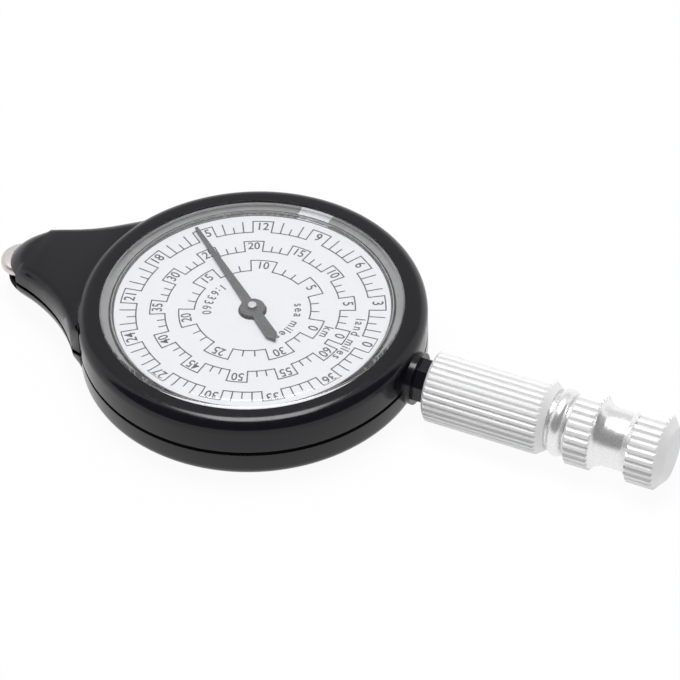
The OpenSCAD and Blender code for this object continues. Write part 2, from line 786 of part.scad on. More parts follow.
// The first mesh has a tooth of the pinion on the line of centres, so each wheel has a gap there
module centre_wheel() {
  n = gear_teeth[2];
  root_r = (n / 2 - dedendum) * centre_module;
  color([0.83, 0.7, 0.36]) difference() {
    gear(0, centre_z, n, centre_module, gear_t, 180 - 180 / n, centre_arbor_d);
    arm_openings(0, centre_z, centre_arbor_d, root_r - arm_w, arm_count, gear_t);
  }
}

module third_pinion() {
  color([0.72, 0.73, 0.75])
    gear(second_x, centre_z - gear_gap, pinion_teeth[2], centre_module,
         gear_t + 2 * gear_gap, 0, arbor_d);
}

module second_wheel() {
  n = gear_teeth[1];
  root_r = (n / 2 - dedendum) * middle_module;
  color([0.83, 0.7, 0.36]) difference() {
    gear(second_x, middle_z, n, middle_module, gear_t, 180 - 180 / n, arbor_d);
    arm_openings(second_x, middle_z, 2 * arbor_d, root_r - arm_w, arm_count, gear_t);
  }
}

module second_arbor() {
  color([0.8, 0.8, 0.82]) {
    rod(second_x, pivot_d, back_plate_z, plate_top);
    rod(second_x, arbor_d, back_plate_top + end_gap, plate_under - end_gap);
  }
}

module second_pinion() {
  color([0.72, 0.73, 0.75])
    gear(first_x, middle_z - gear_gap / 2, pinion_teeth[1], middle_module, gear_t + gear_gap / 2,
         0, arbor_d);
}

module first_wheel() {
  n = gear_teeth[0];
  color([0.83, 0.7, 0.36])
    gear(first_x, fine_z, n, fine_module, gear_t, 180 - 180 / n, arbor_d);
}

module first_arbor() {
  color([0.8, 0.8, 0.82]) {
    rod(first_x, pivot_d, first_from, first_to);
    rod(first_x, arbor_d, wheel_z + end_gap, middle_top);
  }
}

// ---- tracking wheel ----

module tracking_wheel() {
  color([0.8, 0.78, 0.75]) translate([wheel_x, 0, 0]) difference() {
    rotate_extrude() polygon(concat(
      [[0, wheel_z]],
      arc([wheel_r - wheel_round, wheel_z + wheel_round], wheel_round, -90, 0),
      arc([wheel_r - wheel_round, wheel_top - wheel_round], wheel_round, 0, 90),
      [[0, wheel_top]]
    ));
    cylinder(d = axle_d, h = rim_z);
  }
}

module wheel_axle() {
  color([0.8, 0.8, 0.82]) {
    rod(wheel_x, axle_pivot_d, axle_from, axle_to);
    rod(wheel_x, axle_d, slot_under + end_gap, slot_top - end_gap);
  }
}

module wheel_pinion() {
  color([0.72, 0.73, 0.75])
    gear(wheel_x, wheel_top, pinion_teeth[0], fine_module, gear_t + gear_gap, 0, axle_d);
}

// ---- handle ----

// Straight knurl: a star with one ridge for each step round the axis
module knurl(ridges, from, to) {
  step = 360 / ridges;
  flat = ridge_flat / 2;
  translate([from, 0, handle_z]) rotate([0, 90, 0]) linear_extrude(to - from)
    polygon([for (k = [0:ridges - 1]) each [
      valley_r * [cos(k * step), sin(k * step)],
      handle_r * [cos((k + 0.5 - flat) * step), sin((k + 0.5 - flat) * step)],
      handle_r * [cos((k + 0.5 + flat) * step), sin((k + 0.5 + flat) * step)]
    ]]);
}

module handle_sleeve() {
  color([0.9, 0.9, 0.92]) difference() {
    intersection() {
      knurl(sleeve_ridges, sleeve_x, knob_x);
      turned([
        [0, sleeve_x], [valley_r - sleeve_lead / 2, sleeve_x],
        [handle_r + end_gap, sleeve_x + sleeve_lead],
        [handle_r + end_gap, sleeve_end - knurl_bevel / 2],
        [valley_r - sleeve_bevel / 2, knob_x], [0, knob_x]
      ]);
    }
    handle_rod(spigot_d + 2 * fit_gap, sleeve_x - 1, web_x);
    handle_rod(stud_d, web_x - 1, knob_x + 1);
  }
}

module handle_knob() {
  groove_r = bead_d / 2 - groove_depth;
  ring_r = valley_r - knurl_bevel / 2;
  top_r = handle_r + end_gap;
  lip = knurl_bevel / 2;
  waist_r = waist_d / 2;
  color([0.92, 0.92, 0.94]) difference() {
    intersection() {
      union() {
        knurl(knob_ridges, ring_x, cap_x + end_cap_l);
        handle_rod(2 * groove_r + bead_d, knob_x, ring_x);
      }
      turned(concat(
        [[0, knob_x], [groove_r, knob_x], [groove_r, bead_x]],
        bow([groove_r, bead_x], [bead_d / 2, bead_l / 2]),
        [[groove_r, ring_x], [ring_r, ring_x],
         [top_r, ring_x + knurl_bevel], [top_r, cone_x - lip],
         [ring_r, cone_x + lip], [waist_r, waist_x], [waist_r, waist_x + waist_l],
         [ring_r, end_ring_x - lip], [top_r, end_ring_x + lip], [top_r, cap_x - lip]],
        arc([handle_r - end_cap_in - end_cap_l, cap_x], end_cap_l, 35, 90),
        [[0, handle_end]]
      ));
    }
    handle_rod(stud_d, knob_x - 1, stud_end + end_gap);
  }
}

module handle_stud() {
  color([0.6, 0.6, 0.62]) {
    handle_rod(stud_d, stud_head_x, stud_end);
    handle_rod(stud_head_d, stud_head_x, stud_head_x + stud_head_l);
  }
}

front_case();
rear_cover();
case_screws();
crystal();
seat_ring();
dial();
front_plate();
front_plate_screws();
centre_bush();
back_plate();
pillars();
back_plate_screws();
hand();
hand_hub();
centre_arbor();
centre_wheel();
second_wheel();
second_arbor();
third_pinion();
first_wheel();
first_arbor();
second_pinion();
tracking_wheel();
wheel_axle();
wheel_pinion();
handle_sleeve();
handle_knob();
handle_stud();
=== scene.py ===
"""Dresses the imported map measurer: moulded black case, printed dial under a clear crystal,
grey hand, pale tracking wheel and a bright knurled handle."""

import json
import math

import bmesh
import bpy
from mathutils import Matrix, Vector


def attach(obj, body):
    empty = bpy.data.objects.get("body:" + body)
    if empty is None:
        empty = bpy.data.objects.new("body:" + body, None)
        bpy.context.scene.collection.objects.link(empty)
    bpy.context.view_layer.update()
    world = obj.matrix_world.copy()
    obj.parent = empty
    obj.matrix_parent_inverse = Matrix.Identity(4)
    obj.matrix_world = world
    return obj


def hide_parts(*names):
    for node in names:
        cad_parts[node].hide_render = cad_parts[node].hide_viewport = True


MM = 0.001
TAU = 2 * math.pi

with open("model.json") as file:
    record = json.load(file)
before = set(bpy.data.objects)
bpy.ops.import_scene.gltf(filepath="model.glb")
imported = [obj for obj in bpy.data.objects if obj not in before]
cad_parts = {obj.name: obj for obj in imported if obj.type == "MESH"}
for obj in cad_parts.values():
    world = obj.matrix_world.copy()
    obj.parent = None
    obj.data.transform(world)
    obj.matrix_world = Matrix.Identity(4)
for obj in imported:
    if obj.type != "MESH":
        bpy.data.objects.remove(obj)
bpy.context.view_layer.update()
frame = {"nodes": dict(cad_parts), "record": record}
nodes = frame["nodes"]


# ---- camera, at the photograph's viewing angle ----

RIGHT = Vector((0.9098, 0.4144, -0.0216))
DOWN = Vector((0.2723, -0.6354, -0.7226))
EYE = Vector((0.15571, -0.29550, 0.32188))
LENS_MM = 169.99

right = RIGHT.normalized()
up = -(DOWN - DOWN.project(right)).normalized()
camera = bpy.data.objects.new("camera", bpy.data.cameras.new("camera"))
camera.data.sensor_width = 36
camera.data.lens = LENS_MM
camera.data.clip_start = 0.01
camera.data.clip_end = 20
turned = Matrix((right, up, right.cross(up))).transposed().to_4x4()
camera.matrix_world = Matrix.Translation(EYE) @ turned
bpy.context.scene.collection.objects.link(camera)
bpy.context.scene.camera = camera


# ---- materials ----


class Finish:
    """A procedural material on object coordinates, with one Principled shader."""

    def __init__(self, name, **sockets):
        self.material = bpy.data.materials.new(name)
        self.material.use_nodes = True
        self.tree = self.material.node_tree
        self.shader = self.tree.nodes["Principled BSDF"]
        for socket, value in sockets.items():
            self.shader.inputs[socket.replace("_", " ")].default_value = value
        self.place = self.add("ShaderNodeTexCoord").outputs["Object"]

    def add(self, kind, inputs=(), **settings):
        """A new node with these settings, and with its inputs linked or set."""
        node = self.tree.nodes.new(kind)
        for key, value in settings.items():
            setattr(node, key, value)
        for key, value in dict(inputs).items():
            if isinstance(value, bpy.types.NodeSocket):
                self.tree.links.new(value, node.inputs[key])
            else:
                node.inputs[key].default_value = value
        return node

    def calc(self, operation, *values):
        """The result of a Math node."""
        return self.add("ShaderNodeMath", enumerate(values), operation=operation).outputs[0]

    def stretched(self, scale):
        """Object coordinates scaled by a different amount along each axis."""
        mapping = self.add("ShaderNodeMapping", {"Vector": self.place, "Scale": scale})
        return mapping.outputs["Vector"]

    def noise(self, size_mm, detail=3.0, roughness=0.55, vector=None):
        """Noise whose features are about size_mm across."""
        inputs = {
            "Vector": vector or self.place,
            "Scale": 1 / (size_mm * MM),
            "Detail": detail,
            "Roughness": roughness,
        }
        return self.add("ShaderNodeTexNoise", inputs).outputs["Fac"]

    def ramp(self, value, low, high, start=0.3, stop=0.7):
        """A number that runs from low to high as value goes from start to stop."""
        inputs = {
            "Value": value,
            "From Min": start,
            "From Max": stop,
            "To Min": low,
            "To Max": high,
        }
        return self.add("ShaderNodeMapRange", inputs).outputs["Result"]

    def between(self, value, low, high):
        """A colour that runs from low to high."""
        node = self.add("ShaderNodeMix", data_type="RGBA")
        node.inputs["A"].default_value = (*low, 1)
        node.inputs["B"].default_value = (*high, 1)
        self.tree.links.new(value, node.inputs["Factor"])
        return node.outputs["Result"]

    def paint(self, value, low, high):
        """Base colour that runs from low to high."""
        self.tree.links.new(self.between(value, low, high), self.shader.inputs["Base Color"])

    def gloss(self, value, low, high):
        """Roughness that runs from low to high."""
        self.tree.links.new(self.ramp(value, low, high), self.shader.inputs["Roughness"])

    def relief(self, height, depth_mm, strength, over=None):
        """Bump of the given depth, on top of another normal if there is one."""
        inputs = {"Height": height, "Distance": depth_mm * MM, "Strength": strength}
        if over is not None:
            inputs["Normal"] = over
        bump = self.add("ShaderNodeBump", inputs)
        self.tree.links.new(bump.outputs["Normal"], self.shader.inputs["Normal"])

    def soft_edges(self, radius_mm):
        """Normals that round every edge a little, as moulding and tumbling do."""
        bevel = self.add("ShaderNodeBevel", {"Radius": radius_mm * MM}, samples=6)
        self.tree.links.new(bevel.outputs["Normal"], self.shader.inputs["Normal"])
        return bevel.outputs["Normal"]


def moulded_plastic(name, dark, light, shine, ior=1.41):
    """Satin plastic with a fine moulded grain and slight variation in gloss."""
    finish = Finish(name, IOR=ior)
    finish.paint(finish.noise(2.2, 4), dark, light)
    finish.gloss(finish.noise(1.1, 5), shine - 0.04, shine + 0.06)
    edges = finish.soft_edges(0.09)
    finish.relief(finish.noise(0.14, 2), 0.004, 0.5, edges)
    return finish.material


def printed_card(name):
    """White card with a faint fibre."""
    finish = Finish(name, IOR=1.4)
    finish.paint(finish.noise(0.5, 4), (0.80, 0.80, 0.835), (0.84, 0.84, 0.87))
    finish.gloss(finish.noise(0.9), 0.5, 0.62)
    finish.relief(finish.noise(0.09, 3), 0.003, 0.4)
    return finish.material


def printing_ink(name):
    """Dark grey ink, laid on a little unevenly."""
    finish = Finish(name, IOR=1.4)
    finish.paint(finish.noise(0.12, 2), (0.035, 0.035, 0.04), (0.075, 0.075, 0.082))
    finish.gloss(finish.noise(0.3), 0.42, 0.55)
    return finish.material


def clear_crystal(name):
    """Polished clear acrylic."""
    finish = Finish(name, IOR=1.49, Transmission_Weight=1.0)
    finish.paint(finish.noise(6, 2), (0.985, 0.99, 0.995), (0.995, 0.998, 1.0))
    finish.gloss(finish.noise(3.5, 3), 0.0, 0.012)
    return finish.material


# How metallic the satin and the polished parts of the handle are
SATIN_METAL = 0.25
POLISHED_METAL = 0.75
# Half the width over which one turns into the other, in millimetres
POLISH_BLEND = 0.1


def turned_metal(name, dark, light, shine, polished):
    """Satin aluminium with fine turning marks round the X axis, polished over some stretches
    of it, each (from, to) in millimetres."""
    finish = Finish(name, Metallic=1.0)
    marks = finish.noise(0.08, 3, 0.7, finish.stretched((1, 0.05, 0.05)))
    finish.paint(finish.noise(0.7, 4), dark, light)
    satin = finish.ramp(finish.noise(0.5, 4), shine - 0.05, shine + 0.07)
    metal = SATIN_METAL
    along = finish.add("ShaderNodeSeparateXYZ", {"Vector": finish.place}).outputs["X"]
    for start, stop in polished:
        half = (stop - start) / 2 * MM
        edge = (half - POLISH_BLEND * MM, half + POLISH_BLEND * MM)
        offset = finish.calc("SUBTRACT", along, (start + stop) / 2 * MM)
        distance = finish.calc("ABSOLUTE", offset)
        smoother = finish.ramp(distance, 0.5, 1.0, *edge)
        satin = finish.calc("MULTIPLY", satin, smoother)
        more = finish.ramp(distance, POLISHED_METAL - SATIN_METAL, 0.0, *edge)
        metal = finish.calc("ADD", metal, more)
    finish.tree.links.new(satin, finish.shader.inputs["Roughness"])
    finish.tree.links.new(metal, finish.shader.inputs["Metallic"])
    finish.relief(marks, 0.004, 0.6, finish.soft_edges(0.05))
    return finish.material


def face_turned_metal(name, dark, light, shine):
    """Metal turned round the Z axis, as on the tracking wheel and the arbors."""
    finish = Finish(name, Metallic=1.0)
    marks = finish.noise(0.06, 3, 0.7, finish.stretched((0.15, 0.15, 1)))
    finish.paint(finish.noise(0.4, 4), dark, light)
    finish.gloss(finish.noise(0.3, 4), shine - 0.05, shine + 0.08)
    finish.relief(marks, 0.004, 0.5, finish.soft_edges(0.04))
    return finish.material


def stamped_brass(name, dark, light):
    """Brass sheet, lightly tarnished."""
    finish = Finish(name, Metallic=1.0)
    finish.paint(finish.noise(1.6, 5), dark, light)
    finish.gloss(finish.noise(0.8, 4), 0.24, 0.38)
    finish.relief(finish.noise(0.2, 3), 0.003, 0.4, finish.soft_edges(0.03))
    return finish.material


def hand_paint(name):
    """Matt dark grey paint with a slight metallic grain."""
    finish = Finish(name, IOR=1.5)
    speckle = finish.ramp(finish.noise(0.13, 3), 0, 1, 0.38, 0.62)
    finish.paint(speckle, (0.03, 0.03, 0.033), (0.1, 0.1, 0.106))
    finish.gloss(finish.noise(0.4, 3), 0.34, 0.46)
    finish.relief(finish.noise(0.1, 3), 0.004, 0.5, finish.soft_edges(0.04))
    return finish.material


# Stretches along the handle, in millimetres, that are polished between the knurled rings
POLISHED = ((46.2, 49.3), (53.0, 58.6))

# What makes the finish of each material slot, then its dark and its light colour and how rough
FINISHES = {
    "case_plastic": (moulded_plastic, (0.005, 0.0048, 0.0075), (0.0075, 0.0072, 0.011), 0.16),
    "ring_plastic": (moulded_plastic, (0.3, 0.3, 0.303), (0.36, 0.36, 0.364), 0.4),
    "clear_window": (clear_crystal,),
    "dial_white": (printed_card,),
    "plate_brass": (stamped_brass, (0.5, 0.37, 0.15), (0.66, 0.5, 0.23)),
    "gear_brass": (stamped_brass, (0.58, 0.42, 0.17), (0.72, 0.55, 0.25)),
    "arbor_steel": (face_turned_metal, (0.3, 0.29, 0.29), (0.4, 0.385, 0.385), 0.5),
    "screw_steel": (face_turned_metal, (0.36, 0.36, 0.38), (0.48, 0.48, 0.5), 0.3),
    "hand_grey": (hand_paint,),
    "wheel_metal": (face_turned_metal, (0.66, 0.62, 0.61), (0.78, 0.745, 0.735), 0.4),
    "handle_metal": (turned_metal, (0.88, 0.88, 0.885), (0.94, 0.94, 0.945), 0.55, POLISHED),
}
finishes = {slot: make(slot, *settings) for slot, (make, *settings) in FINISHES.items()}

# Finishes of single pieces, each in the slot of a piece beside it
ink = printing_ink("dial_ink")
# Near-black, almost unreflecting finish of the lip in the seam: painted shade of the gap between
# the two halves
seam_painted_shade = moulded_plastic("seam_painted_shade", (0.002,) * 3, (0.004,) * 3, 0.7, ior=1.06)
# The hub's own dark paint, darkened further as painted shade of the hole in the dial round it
hub_painted_shade = moulded_plastic("hub_painted_shade", (0.012, 0.012, 0.013), (0.035, 0.035, 0.037), 0.4)
# Painted shade, for the lower lining of the crystal and the line round the dial
painted_shade_grey = moulded_plastic("painted_shade_grey", (0.06, 0.06, 0.061), (0.1, 0.1, 0.102), 0.5)
# Light grey painted reflection, for the upper lining in the crystal's side wall
painted_reflection_grey = moulded_plastic("painted_reflection_grey", (0.72, 0.72, 0.73), (0.88, 0.88, 0.89), 0.5)


# ---- making pieces ----

slot_of = {row["node"]: row["material_slot"] for row in frame["record"]["subparts"]}
bodies = frame["record"]["behaviour"]["bodies"]
body_of = {node: body for body, members in bodies.items() for node in members}

# Two points nearer than this, in millimetres, are one point
SAME_POINT = 0.0005
SAME_LATHE_POINT = 0.0002
# Edges that bend by more than this, in degrees, are drawn sharp
SHARP = 32
# The front case has a limit of its own, for smooth flanks on the beak and crisp flats on the neck
CASE_SHARP = 43
CRYSTAL_SHARP = 50


def piece(name, bm, body, slot, material=None, stands_for=None, sharp=SHARP):
    """Turns a bmesh in metres into a piece that rides on a body."""
    mesh = bpy.data.meshes.new(name)
    bm.to_mesh(mesh)
    bm.free()
    # The shading that a copy brings along no longer fits its edited shape
    for stale in ("custom_normal", "sharp_edge"):
        if stale in mesh.attributes:
            mesh.attributes.remove(mesh.attributes[stale])
    mesh.shade_smooth()
    mesh.set_sharp_from_angle(angle=math.radians(sharp))
    mesh.materials.append(material or finishes[slot])
    made = bpy.data.objects.new(name, mesh)
    bpy.context.scene.collection.objects.link(made)
    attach(made, body)
    if stands_for:
        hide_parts(stands_for)
    return made


def merged_copy(node):
    """The shape of a CAD node, with its loose triangles joined."""
    bm = bmesh.new()
    bm.from_mesh(nodes[node].data)
    bmesh.ops.remove_doubles(bm, verts=bm.verts, dist=SAME_POINT * MM)
    bmesh.ops.dissolve_degenerate(bm, edges=bm.edges, dist=SAME_POINT * MM)
    return bm


def lathe(profile, closed=True, steps=192):
    """Spins a profile of (radius, height) points in millimetres round the Z axis."""
    bm = bmesh.new()
    verts = [bm.verts.new((radius * MM, 0, height * MM)) for radius, height in profile]
    pairs = list(zip(verts, verts[1:]))
    if closed:
        pairs.append((verts[-1], verts[0]))
    edges = [bm.edges.new(pair) for pair in pairs]
    bmesh.ops.spin(bm, geom=verts + edges, axis=(0, 0, 1), angle=TAU, steps=steps, use_merge=True)
    bmesh.ops.remove_doubles(bm, verts=bm.verts, dist=SAME_LATHE_POINT * MM)
    bmesh.ops.dissolve_degenerate(bm, edges=bm.edges, dist=SAME_LATHE_POINT * MM)
    bmesh.ops.recalc_face_normals(bm, faces=bm.faces)
    return bm


def ring(inner, outer, low, high, steps=192):
    """A ring of square section round the Z axis, in millimetres."""
    return lathe([(inner, low), (outer, low), (outer, high), (inner, high)], steps=steps)


def arc(centre, radius, start, stop, steps=8):
    """Points of an arc in a profile, angles in degrees."""
    turns = [math.radians(start + (stop - start) * i / steps) for i in range(steps + 1)]
    return [(centre[0] + radius * math.cos(a), centre[1] + radius * math.sin(a)) for a in turns]


# ---- case, metal pieces and the rest of the CAD nodes; sizes in millimetres ----

SMOOTHED = (
    "front_case",
    "rear_cover",
    "seat_ring",
    "hand",
    "centre_arbor",
    "tracking_wheel",
    "wheel_axle",
    "case_screws",
    "handle_sleeve",
    "handle_knob",
)
CASE_R = 25.0

# The rounded back edge: its radius, and the radius and height of its centre
BACK_ROUND = 1.9
BACK_FLAT_R = 23.1
BACK_ARC_Z = 2.7
# The feet that stand out of it lie below this height, and stand out by more than this
FEET_TOP = 1.3
FEET_OUT = 0.02

# The line between the two halves: its height, half its width in the CAD, how far each side of it
# moves back, the radius that it starts from and the x that it ends at
SEAM_Z = 5.5
SEAM_HALF = 0.15
SEAM_MORE = 0.18
SEAM_R = 24.3
SEAM_END = 26.2

# The beak: the arc of its flank in plan, the x where that runs from and to, the height of its top
# over the seam at the case and how much that falls to the tip
FLANK_CENTRE = Vector((-42.369, 30.17))
FLANK_R = 26.0
FLANK_FROM = -33.25
FLANK_TO = -21.2
BEAK_H = 4.4
BEAK_FALL = 1.6
BEAK_TIP = -39.5
# Rounding of its upper edge at FLANK_FROM and at FLANK_TO, in the CAD and as it is drawn
SOFT_ROUND = (1.4, 3.6)
CRISP_ROUND = (1.4, 1.1)
# Vertices of the rounding: this far in at least, this far below it at most, this far over the seam
ROUND_INSET = 0.01
ROUND_BELOW = 0.12
OVER_SEAM = 0.2
# The root of the beak: how far it reaches past FLANK_TO, and into the wall of the case
ROOT_REACH = 1.2
ROOT_DEPTH = 0.3
# Its end face: the x on either side of FLANK_TO and the least y of its vertices, and the share of
# their height over the wall that is left
FACE_BEFORE = 0.15
FACE_AFTER = 1.0
FACE_Y = 12
FACE_LEFT = 0.04
# A vertex this near a wall is on it
TOUCH = 0.01


def trim_cover(bm):
    """Draws the feet of the screw posts' webs in to the rounded back edge."""
    for vert in bm.verts:
        radius, height = math.hypot(vert.co.x, vert.co.y) / MM, vert.co.z / MM
        if height < FEET_TOP and radius > BACK_FLAT_R:
            from_centre = Vector((radius - BACK_FLAT_R, height - BACK_ARC_Z))
            if from_centre.length > BACK_ROUND + FEET_OUT:
                on_edge = from_centre.normalized() * BACK_ROUND
                vert.co.xy *= (BACK_FLAT_R + on_edge.x) / radius
                vert.co.z = (BACK_ARC_Z + on_edge.y) * MM


def edge_height(top, rounding, inset):
    """Height of a rounded upper edge, so far in from the flank."""
    short = max(0, rounding - inset)
    return top - rounding + math.sqrt(rounding**2 - short**2)


def crisp_flank(bm):
    """Tightens the rounding along the near flank of the beak."""
    for vert in bm.verts:
        place = vert.co / MM
        least_r = CASE_R + (TOUCH if place.x > FLANK_TO + TOUCH else -ROOT_DEPTH)
        if not FLANK_FROM < place.x < FLANK_TO + ROOT_REACH or place.xy.length < least_r:
            continue
        if place.y > 0 or place.z < SEAM_Z + OVER_SEAM:
            continue
        inset = (Vector((place.x, -place.y)) - FLANK_CENTRE).length - FLANK_R
        share = min(1, (place.x - FLANK_FROM) / (FLANK_TO - FLANK_FROM))
        fall = BEAK_FALL * max(0, -place.x - CASE_R) / (-BEAK_TIP - CASE_R)
        top = SEAM_Z + BEAK_H - fall
        soft = SOFT_ROUND[0] + (SOFT_ROUND[1] - SOFT_ROUND[0]) * share
        crisp = CRISP_ROUND[0] + (CRISP_ROUND[1] - CRISP_ROUND[0]) * share
        if ROUND_INSET < inset < soft:
            raised = edge_height(top, crisp, inset)
            if edge_height(top, soft, inset) - ROUND_BELOW < place.z < raised:
                vert.co.z = raised * MM


def close_root(bm):
    """Draws the end face of the beak's root in to the wall of the case."""
    for vert in bm.verts:
        place = vert.co / MM
        radius = place.xy.length
        at_root = FLANK_TO - FACE_BEFORE < place.x < FLANK_TO + FACE_AFTER
        if at_root and abs(place.y) > FACE_Y and radius > CASE_R + TOUCH:
            vert.co.xy *= (CASE_R + FACE_LEFT * (radius - CASE_R)) / radius


def widen_seam(bm):
    """Opens the line between the two halves a little."""
    for vert in bm.verts:
        place = vert.co / MM
        height = place.z - SEAM_Z
        on_edge = abs(abs(height) - SEAM_HALF) < TOUCH
        if on_edge and place.xy.length > SEAM_R and place.x < SEAM_END:
            vert.co.z += math.copysign(SEAM_MORE, height) * MM


for node in SMOOTHED:
    skin = merged_copy(node)
    if node == "front_case":
        crisp_flank(skin)
    if node == "rear_cover":
        trim_cover(skin)
    if node in ("front_case", "rear_cover"):
        close_root(skin)
        widen_seam(skin)
    sharp = CASE_SHARP if node == "front_case" else SHARP
    piece(node + "_skin", skin, body_of[node], slot_of[node], stands_for=node, sharp=sharp)

for node, thing in nodes.items():
    thing.data.materials.clear()
    thing.data.materials.append(finishes[slot_of[node]])


# ---- hub under the hand, in dark paint darkened further as painted shade of the dial hole, and the lip in the seam of the case, near-black as painted shade of the seam; sizes in millimetres ----

# Profile of the hub, as (radius, height)
HUB = (
    (0.63, 8.64),
    (1.95, 8.64),
    (1.95, 8.8),
    (1.85, 8.86),
    (1.5, 8.88),
    (1.5, 9.25),
    (0.63, 9.25),
)
# The lip: its outer radius, and half its height
LIP_R = 24.93
LIP_HALF = 0.3

hub_body = body_of["hand_hub"]
piece("hub_skirt", lathe(HUB), hub_body, "hand_grey", hub_painted_shade, stands_for="hand_hub")
# The lip's near-black finish is painted shade in the seam between the halves
lip = ring(SEAM_R, LIP_R, SEAM_Z - LIP_HALF, SEAM_Z + LIP_HALF)
piece("seam_lip", lip, "case", "case_plastic", seam_painted_shade)


# ---- crystal; sizes in millimetres ----

CRYSTAL_R = 21.7
CRYSTAL_TOP = 10.95
WINDOW_Z = 10.2
DIAL_Z = 8.9
CRYSTAL_WALL = 1.2
CRYSTAL_ROUND = 0.6
CRYSTAL_COVE = 1.25
CRYSTAL_STEPS = 384
# Linings of the side wall: inner and outer radius, then lower and upper height and finish of each.
# The lower one is painted shade and the upper one a painted reflection in the crystal's side.
# They are this thin because they lie in the gap between the crystal and the case.
LINING_R = (21.703, 21.714)
LININGS = (("crystal_shade", 8.95, 9.75, painted_shade_grey), ("crystal_painted_reflection", 9.76, 10.6, painted_reflection_grey))
# The painted shadow line round the edge of the dial: inner and outer radius, lower and upper height
# over the dial
EDGE_R = (20.2, 20.38)
EDGE_Z = (0.004, 0.012)

inner = CRYSTAL_R - CRYSTAL_WALL
crystal = piece(
    "crystal_cup",
    lathe(
        [(0, WINDOW_Z)]
        + arc((inner - CRYSTAL_COVE, WINDOW_Z - CRYSTAL_COVE), CRYSTAL_COVE, 90, 0)
        + [(inner, DIAL_Z), (CRYSTAL_R, DIAL_Z)]
        + arc((CRYSTAL_R - CRYSTAL_ROUND, CRYSTAL_TOP - CRYSTAL_ROUND), CRYSTAL_ROUND, 0, 90)
        + [(0, CRYSTAL_TOP)],
        closed=False,
        steps=CRYSTAL_STEPS,
    ),
    "case",
    "clear_window",
    stands_for="crystal",
    sharp=CRYSTAL_SHARP,
)
crystal.visible_shadow = False
crystal.visible_diffuse = False
# The linings paint shade low in the crystal's side wall and a reflection above it
for name, low, high, coat in LININGS:
    lining = ring(*LINING_R, low, high, steps=CRYSTAL_STEPS)
    piece(name, lining, "case", "clear_window", coat)
# A thin grey ring on the dial at the foot of the crystal: painted shadow along the dial's edge
edge = ring(*EDGE_R, *(DIAL_Z + height for height in EDGE_Z))
piece("dial_edge", edge, "case", "ring_plastic", painted_shade_grey)


# ---- printing on the dial: scales, numbers and words; sizes in millimetres ----

INK_Z = DIAL_Z + 0.012
LINE_W = 0.19
SCALES = (
    # turn: units in one turn of the hand; step: units between numbers; half: half a number's box;
    # last: last number; inner, outer: radii; tick: units between ticks; digit: height of digits
    dict(turn=39.0, step=3, half=0.5, last=36, inner=16.62, outer=19.0, tick=0.5, digit=1.55),
    dict(turn=62.76, step=5, half=1.0, last=60, inner=12.48, outer=14.65, tick=1.0, digit=1.46),
    dict(turn=33.87, step=5, half=1.0, last=30, inner=8.31, outer=10.52, tick=1.0, digit=1.46),
)
# Share of a scale's height that a short tick takes
SHORT_TICK = 0.55
# Height of a capital in the built-in font, the width that letters are drawn to, and their spacing
CAP_H = 0.69
NARROW = 0.86
SPACING = 0.95
# Width of a letter in the built-in font, where it isn't about the common one
WIDTHS = {
    "i": 0.26,
    "l": 0.26,
    " ": 0.34,
    "m": 0.86,
    ":": 0.32,
    "1": 0.56,
    "k": 0.54,
    "t": 0.36,
    "s": 0.5,
}
COMMON_WIDTH = 0.6
# Text, radius, angle in degrees, height and whether its top points inwards
WORDS = (
    ("land miles", 15.5, 0, 1.35, False),
    ("km", 11.5, 0, 1.35, False),
    ("sea miles", 6.6, 0, 1.35, False),
    ("1:63360", 6.6, 182, 1.3, True),
)


def band(bm, radius, start, stop):
    """A printed arc from one angle to another, in radians."""
    ends = [bm.verts.new(((radius + side * LINE_W / 2) * MM, 0, INK_Z * MM)) for side in (-1, 1)]
    edge = bm.edges.new(ends)
    bmesh.ops.rotate(bm, verts=ends, matrix=Matrix.Rotation(start, 3, "Z"))
    steps = max(1, round((stop - start) / math.radians(2)))
    bmesh.ops.spin(bm, geom=ends + [edge], axis=(0, 0, 1), angle=stop - start, steps=steps)


def bar(bm, angle, start, stop):
    """A printed line along a radius."""
    place = (
        Matrix.Rotation(angle, 4, "Z")
        @ Matrix.Translation(((start + stop) / 2 * MM, 0, INK_Z * MM))
        @ Matrix.Diagonal(((stop - start) * MM, LINE_W * MM, 1, 1))
    )
    bmesh.ops.create_grid(bm, x_segments=1, y_segments=1, size=0.5, matrix=place)


def print_scale(bm, turn, step, half, last, inner, outer, tick, digit):
    """One scale: a line that steps out round every number, with ticks between the numbers."""
    unit = TAU / turn
    over = LINE_W / 2
    for number in range(0, last + 1, step):
        left, right = (number + half) * unit, (number - half) * unit
        band(bm, outer, right, left)
        for side in (right, left):
            bar(bm, side, inner - over, outer + over)
        following = (number + step if number < last else turn) - half
        band(bm, inner, left, following * unit)
        value = number + half + tick
        while value < following - tick / 2:
            whole = abs(value - round(value)) < 0.1
            reach = 1.0 if whole and tick < 1 else SHORT_TICK
            bar(bm, value * unit, inner, inner + (outer - inner) * reach)
            value += tick


glyphs = {}


def glyph(text):
    """The flat mesh of a piece of text, one unit high."""
    if text not in glyphs:
        curve = bpy.data.curves.new("glyph", "FONT")
        curve.body = text
        curve.align_x = "CENTER"
        curve.align_y = "CENTER"
        curve.resolution_u = 3
        curve.offset = 0.012
        holder = bpy.data.objects.new("glyph", curve)
        bpy.context.scene.collection.objects.link(holder)
        bpy.context.view_layer.update()
        glyphs[text] = bpy.data.meshes.new_from_object(
            holder.evaluated_get(bpy.context.evaluated_depsgraph_get())
        )
        bpy.data.objects.remove(holder)
    return glyphs[text]


